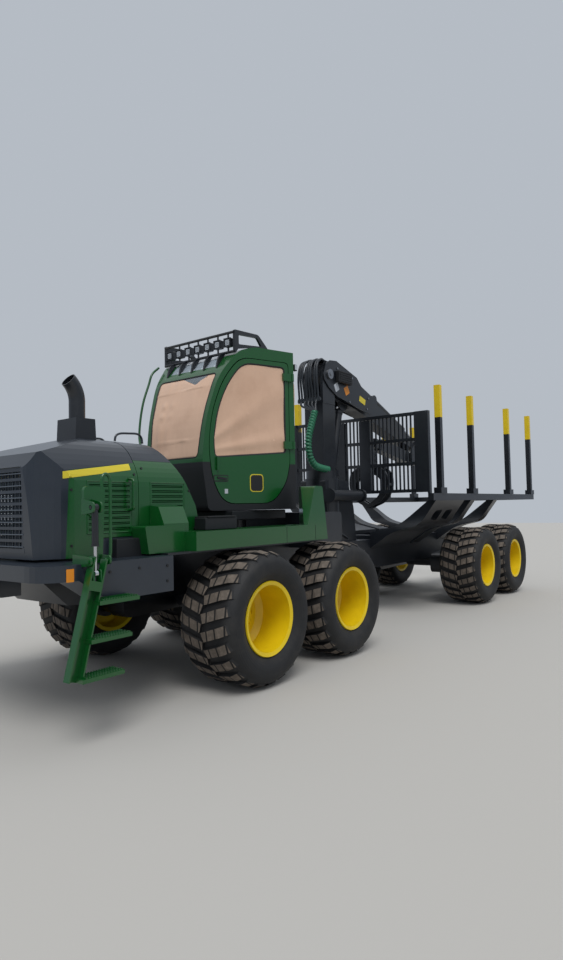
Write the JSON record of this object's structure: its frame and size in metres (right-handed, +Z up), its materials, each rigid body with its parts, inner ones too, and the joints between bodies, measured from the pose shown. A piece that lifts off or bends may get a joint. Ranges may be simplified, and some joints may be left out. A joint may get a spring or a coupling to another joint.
{
  "type": "forestry forwarder",
  "caption": "Eight-wheel articulated forwarder with cab, opening hood, boarding ladder, log bunk with stakes and gate, and a slewing loader crane with grapple.",
  "frame": {"origin": "on the ground under the middle of the machine's outline box", "axes": "+X forward, +Y to the machine's left, +Z up"},
  "size_m": [11.55, 3.0942, 3.9558],
  "materials": {
    "tyre": "dusty black rubber",
    "yellow_paint": "gloss yellow paint",
    "green_paint": "gloss green paint",
    "dark_plastic": "dark blue-grey moulded plastic",
    "black_paint": "satin black paint",
    "window_film": "glass under tan protective film",
    "chrome_rod": "polished chrome plate",
    "cab_trim": "dark trim and cloth",
    "stake_paint": "black paint with yellow tops",
    "exhaust_black": "heat-proof matt black"
  },
  "bodies": {
    "front_body": {"front_frame": "black_paint", "front_bogies": "black_paint", "bumper": "dark_plastic", "engine": "black_paint", "cowl": "green_paint", "side_decks": "green_paint", "cab_shell": "green_paint", "cab_skirt": "black_paint", "cab_glazing": "window_film", "cab_interior": "cab_trim", "light_guard": "black_paint"},
    "hood_body": {"hood": "dark_plastic", "hood_sides": "green_paint", "grille": "dark_plastic", "exhaust": "exhaust_black"},
    "door_body": {"cab_door": "green_paint", "door_glazing": "window_film"},
    "ladder_body": {"ladder": "green_paint"},
    "ladder_barrel_body": {"ladder_barrel": "black_paint"},
    "ladder_rod_body": {"ladder_rod": "chrome_rod"},
    "joint_body": {"middle_joint": "black_paint"},
    "steer_barrel_left_body": {"steer_barrel_left": "black_paint"},
    "steer_rod_left_body": {"steer_rod_left": "chrome_rod"},
    "steer_barrel_right_body": {"steer_barrel_right": "black_paint"},
    "steer_rod_right_body": {"steer_rod_right": "chrome_rod"},
    "rear_body": {"rear_frame": "black_paint", "rear_bogies": "black_paint", "bunks": "black_paint", "stakes": "stake_paint", "gate": "black_paint", "crane_base": "black_paint"},
    "pillar_body": {"crane_pillar": "black_paint"},
    "main_boom_body": {"main_boom": "black_paint"},
    "outer_boom_body": {"outer_boom": "black_paint"},
    "boom_tip_body": {"boom_tip": "black_paint"},
    "hanger_body": {"hanger": "black_paint"},
    "grapple_body": {"grapple_head": "black_paint"},
    "jaw_left_body": {"jaw_left": "black_paint"},
    "jaw_right_body": {"jaw_right": "black_paint"},
    "lift_barrel_body": {"lift_barrel": "black_paint"},
    "lift_rod_body": {"lift_rod": "chrome_rod"},
    "fold_barrel_body": {"fold_barrel": "black_paint"},
    "fold_rod_body": {"fold_rod": "chrome_rod"},
    "wheel_1_left": {"tyre_1_left": "tyre", "rim_1_left": "yellow_paint"},
    "wheel_1_right": {"tyre_1_right": "tyre", "rim_1_right": "yellow_paint"},
    "wheel_2_left": {"tyre_2_left": "tyre", "rim_2_left": "yellow_paint"},
    "wheel_2_right": {"tyre_2_right": "tyre", "rim_2_right": "yellow_paint"},
    "wheel_3_left": {"tyre_3_left": "tyre", "rim_3_left": "yellow_paint"},
    "wheel_3_right": {"tyre_3_right": "tyre", "rim_3_right": "yellow_paint"},
    "wheel_4_left": {"tyre_4_left": "tyre", "rim_4_left": "yellow_paint"},
    "wheel_4_right": {"tyre_4_right": "tyre", "rim_4_right": "yellow_paint"}
  },
  "joints": [
    {"name": "wheel_1_left_turn", "type": "hinge", "parent": "front_body", "child": "wheel_1_left", "pos_m": [3.539, 1.195, 0.655], "axis": [0, 1, 0], "continuous": true},
    {"name": "wheel_1_right_turn", "type": "hinge", "parent": "front_body", "child": "wheel_1_right", "pos_m": [3.539, -1.195, 0.655], "axis": [0, 1, 0], "continuous": true},
    {"name": "wheel_2_left_turn", "type": "hinge", "parent": "front_body", "child": "wheel_2_left", "pos_m": [2.011, 1.195, 0.655], "axis": [0, 1, 0], "continuous": true},
    {"name": "wheel_2_right_turn", "type": "hinge", "parent": "front_body", "child": "wheel_2_right", "pos_m": [2.011, -1.195, 0.655], "axis": [0, 1, 0], "continuous": true},
    {"name": "wheel_3_left_turn", "type": "hinge", "parent": "rear_body", "child": "wheel_3_left", "pos_m": [-2.489, 1.195, 0.655], "axis": [0, 1, 0], "continuous": true},
    {"name": "wheel_3_right_turn", "type": "hinge", "parent": "rear_body", "child": "wheel_3_right", "pos_m": [-2.489, -1.195, 0.655], "axis": [0, 1, 0], "continuous": true},
    {"name": "wheel_4_left_turn", "type": "hinge", "parent": "rear_body", "child": "wheel_4_left", "pos_m": [-4.017, 1.195, 0.655], "axis": [0, 1, 0], "continuous": true},
    {"name": "wheel_4_right_turn", "type": "hinge", "parent": "rear_body", "child": "wheel_4_right", "pos_m": [-4.017, -1.195, 0.655], "axis": [0, 1, 0], "continuous": true},
    {"name": "steer", "type": "hinge", "parent": "front_body", "child": "joint_body", "pos_m": [0.825, 0, 0.93], "axis": [0, 0, 1], "range_deg": [-42, 42]},
    {"name": "frame_roll", "type": "hinge", "parent": "joint_body", "child": "rear_body", "pos_m": [0.445, 0, 0.93], "axis": [1, 0, 0], "range_deg": [-12, 12]},
    {"name": "steer_barrel_left_turn", "type": "hinge", "parent": "front_body", "child": "steer_barrel_left_body", "pos_m": [1.755, 0.5, 0.93], "axis": [0, 0, 1], "range_deg": [-8, 8]},
    {"name": "steer_rod_left_slide", "type": "slide", "parent": "steer_barrel_left_body", "child": "steer_rod_left_body", "axis": [-0.9887, -0.1501, 0], "range_m": [-0.2586, 0.2586]},
    {"name": "steer_barrel_right_turn", "type": "hinge", "parent": "front_body", "child": "steer_barrel_right_body", "pos_m": [1.755, -0.5, 0.93], "axis": [0, 0, 1], "range_deg": [-8, 8]},
    {"name": "steer_rod_right_slide", "type": "slide", "parent": "steer_barrel_right_body", "child": "steer_rod_right_body", "axis": [-0.9887, 0.1501, 0], "range_m": [-0.2586, 0.2586]},
    {"name": "hood_open", "type": "hinge", "parent": "front_body", "child": "hood_body", "pos_m": [5.625, 0, 1.345], "axis": [0, 1, 0], "range_deg": [0, 60]},
    {"name": "cab_door_open", "type": "hinge", "parent": "front_body", "child": "door_body", "pos_m": [2.21662, 0.84664, 2.9], "axis": [0, 0, 1], "range_deg": [0, 65]},
    {"name": "ladder_fold", "type": "hinge", "parent": "front_body", "child": "ladder_body", "pos_m": [5.385, 1.33, 1.35], "axis": [1, 0, 0], "range_deg": [0, 130]},
    {"name": "ladder_barrel_turn", "type": "hinge", "parent": "front_body", "child": "ladder_barrel_body", "pos_m": [5.406, 1.33, 1.752], "axis": [1, 0, 0], "range_deg": [0, 15]},
    {"name": "ladder_rod_slide", "type": "slide", "parent": "ladder_barrel_body", "child": "ladder_rod_body", "axis": [0, 0, -1], "range_m": [-0.16, 0]},
    {"name": "crane_slew", "type": "hinge", "parent": "rear_body", "child": "pillar_body", "pos_m": [0.375, 0, 2.15], "axis": [0, 0, 1], "range_deg": [-20, 20]},
    {"name": "boom_lift", "type": "hinge", "parent": "pillar_body", "child": "main_boom_body", "pos_m": [0.375, 0, 3.72], "axis": [0, 1, 0], "range_deg": [0, 75]},
    {"name": "boom_fold", "type": "hinge", "parent": "main_boom_body", "child": "outer_boom_body", "pos_m": [-2.705, 0, 2.82], "axis": [0, 1, 0], "range_deg": [0, 131]},
    {"name": "boom_reach", "type": "slide", "parent": "outer_boom_body", "child": "boom_tip_body", "axis": [0.9877, 0, 0.1564], "range_m": [0, 0.81]},
    {"name": "grapple_swing", "type": "hinge", "parent": "boom_tip_body", "child": "hanger_body", "pos_m": [-1.13404, 0, 2.8157], "axis": [0, 1, 0], "range_deg": [-206, 1]},
    {"name": "rotator_turn", "type": "hinge", "parent": "hanger_body", "child": "grapple_body", "pos_m": [-1.13404, 0, 2.5157], "axis": [0, 0, 1], "continuous": true},
    {"name": "jaw_left_open", "type": "hinge", "parent": "grapple_body", "child": "jaw_left_body", "pos_m": [-1.13404, 0.11, 2.3357], "axis": [1, 0, 0], "range_deg": [0, 60]},
    {"name": "jaw_right_open", "type": "hinge", "parent": "grapple_body", "child": "jaw_right_body", "pos_m": [-1.13404, -0.11, 2.3357], "axis": [1, 0, 0], "range_deg": [-60, 0]},
    {"name": "lift_barrel_turn", "type": "hinge", "parent": "pillar_body", "child": "lift_barrel_body", "pos_m": [0.085, 0, 2.24], "axis": [0, 1, 0], "range_deg": [-5, 5]},
    {"name": "lift_rod_slide", "type": "slide", "parent": "lift_barrel_body", "child": "lift_rod_body", "axis": [-0.2331, 0, 0.9725], "range_m": [0, 0.85]},
    {"name": "fold_barrel_turn", "type": "hinge", "parent": "main_boom_body", "child": "fold_barrel_body", "pos_m": [-1.20653, 0, 3.57041], "axis": [0, 1, 0], "range_deg": [-8, 8]},
    {"name": "fold_rod_slide", "type": "slide", "parent": "fold_barrel_body", "child": "fold_rod_body", "axis": [-0.9356, 0, -0.3529], "range_m": [-0.65, 0]}
  ],
  "couplings": [
    {"joint": "steer_barrel_left_turn", "follows": "steer", "ratio": 0.12},
    {"joint": "steer_rod_left_slide", "follows": "steer", "m_per_rad": 0.3458},
    {"joint": "steer_barrel_right_turn", "follows": "steer", "ratio": 0.12},
    {"joint": "steer_rod_right_slide", "follows": "steer", "m_per_rad": -0.3458},
    {"joint": "ladder_barrel_turn", "follows": "ladder_fold", "ratio": 0.095},
    {"joint": "ladder_rod_slide", "follows": "ladder_fold", "m_per_rad": -0.05777},
    {"joint": "boom_fold", "follows": "boom_lift", "ratio": 1.7333},
    {"joint": "boom_reach", "follows": "boom_lift", "m_per_rad": 0.61116},
    {"joint": "grapple_swing", "follows": "boom_lift", "ratio": -2.7333},
    {"joint": "jaw_right_open", "follows": "jaw_left_open", "ratio": -1},
    {"joint": "lift_barrel_turn", "follows": "boom_lift", "ratio": 0.0425},
    {"joint": "lift_rod_slide", "follows": "boom_lift", "m_per_rad": 0.64326},
    {"joint": "fold_barrel_turn", "follows": "boom_lift", "ratio": 0.043333},
    {"joint": "fold_rod_slide", "follows": "boom_lift", "m_per_rad": -0.4818}
  ]
}
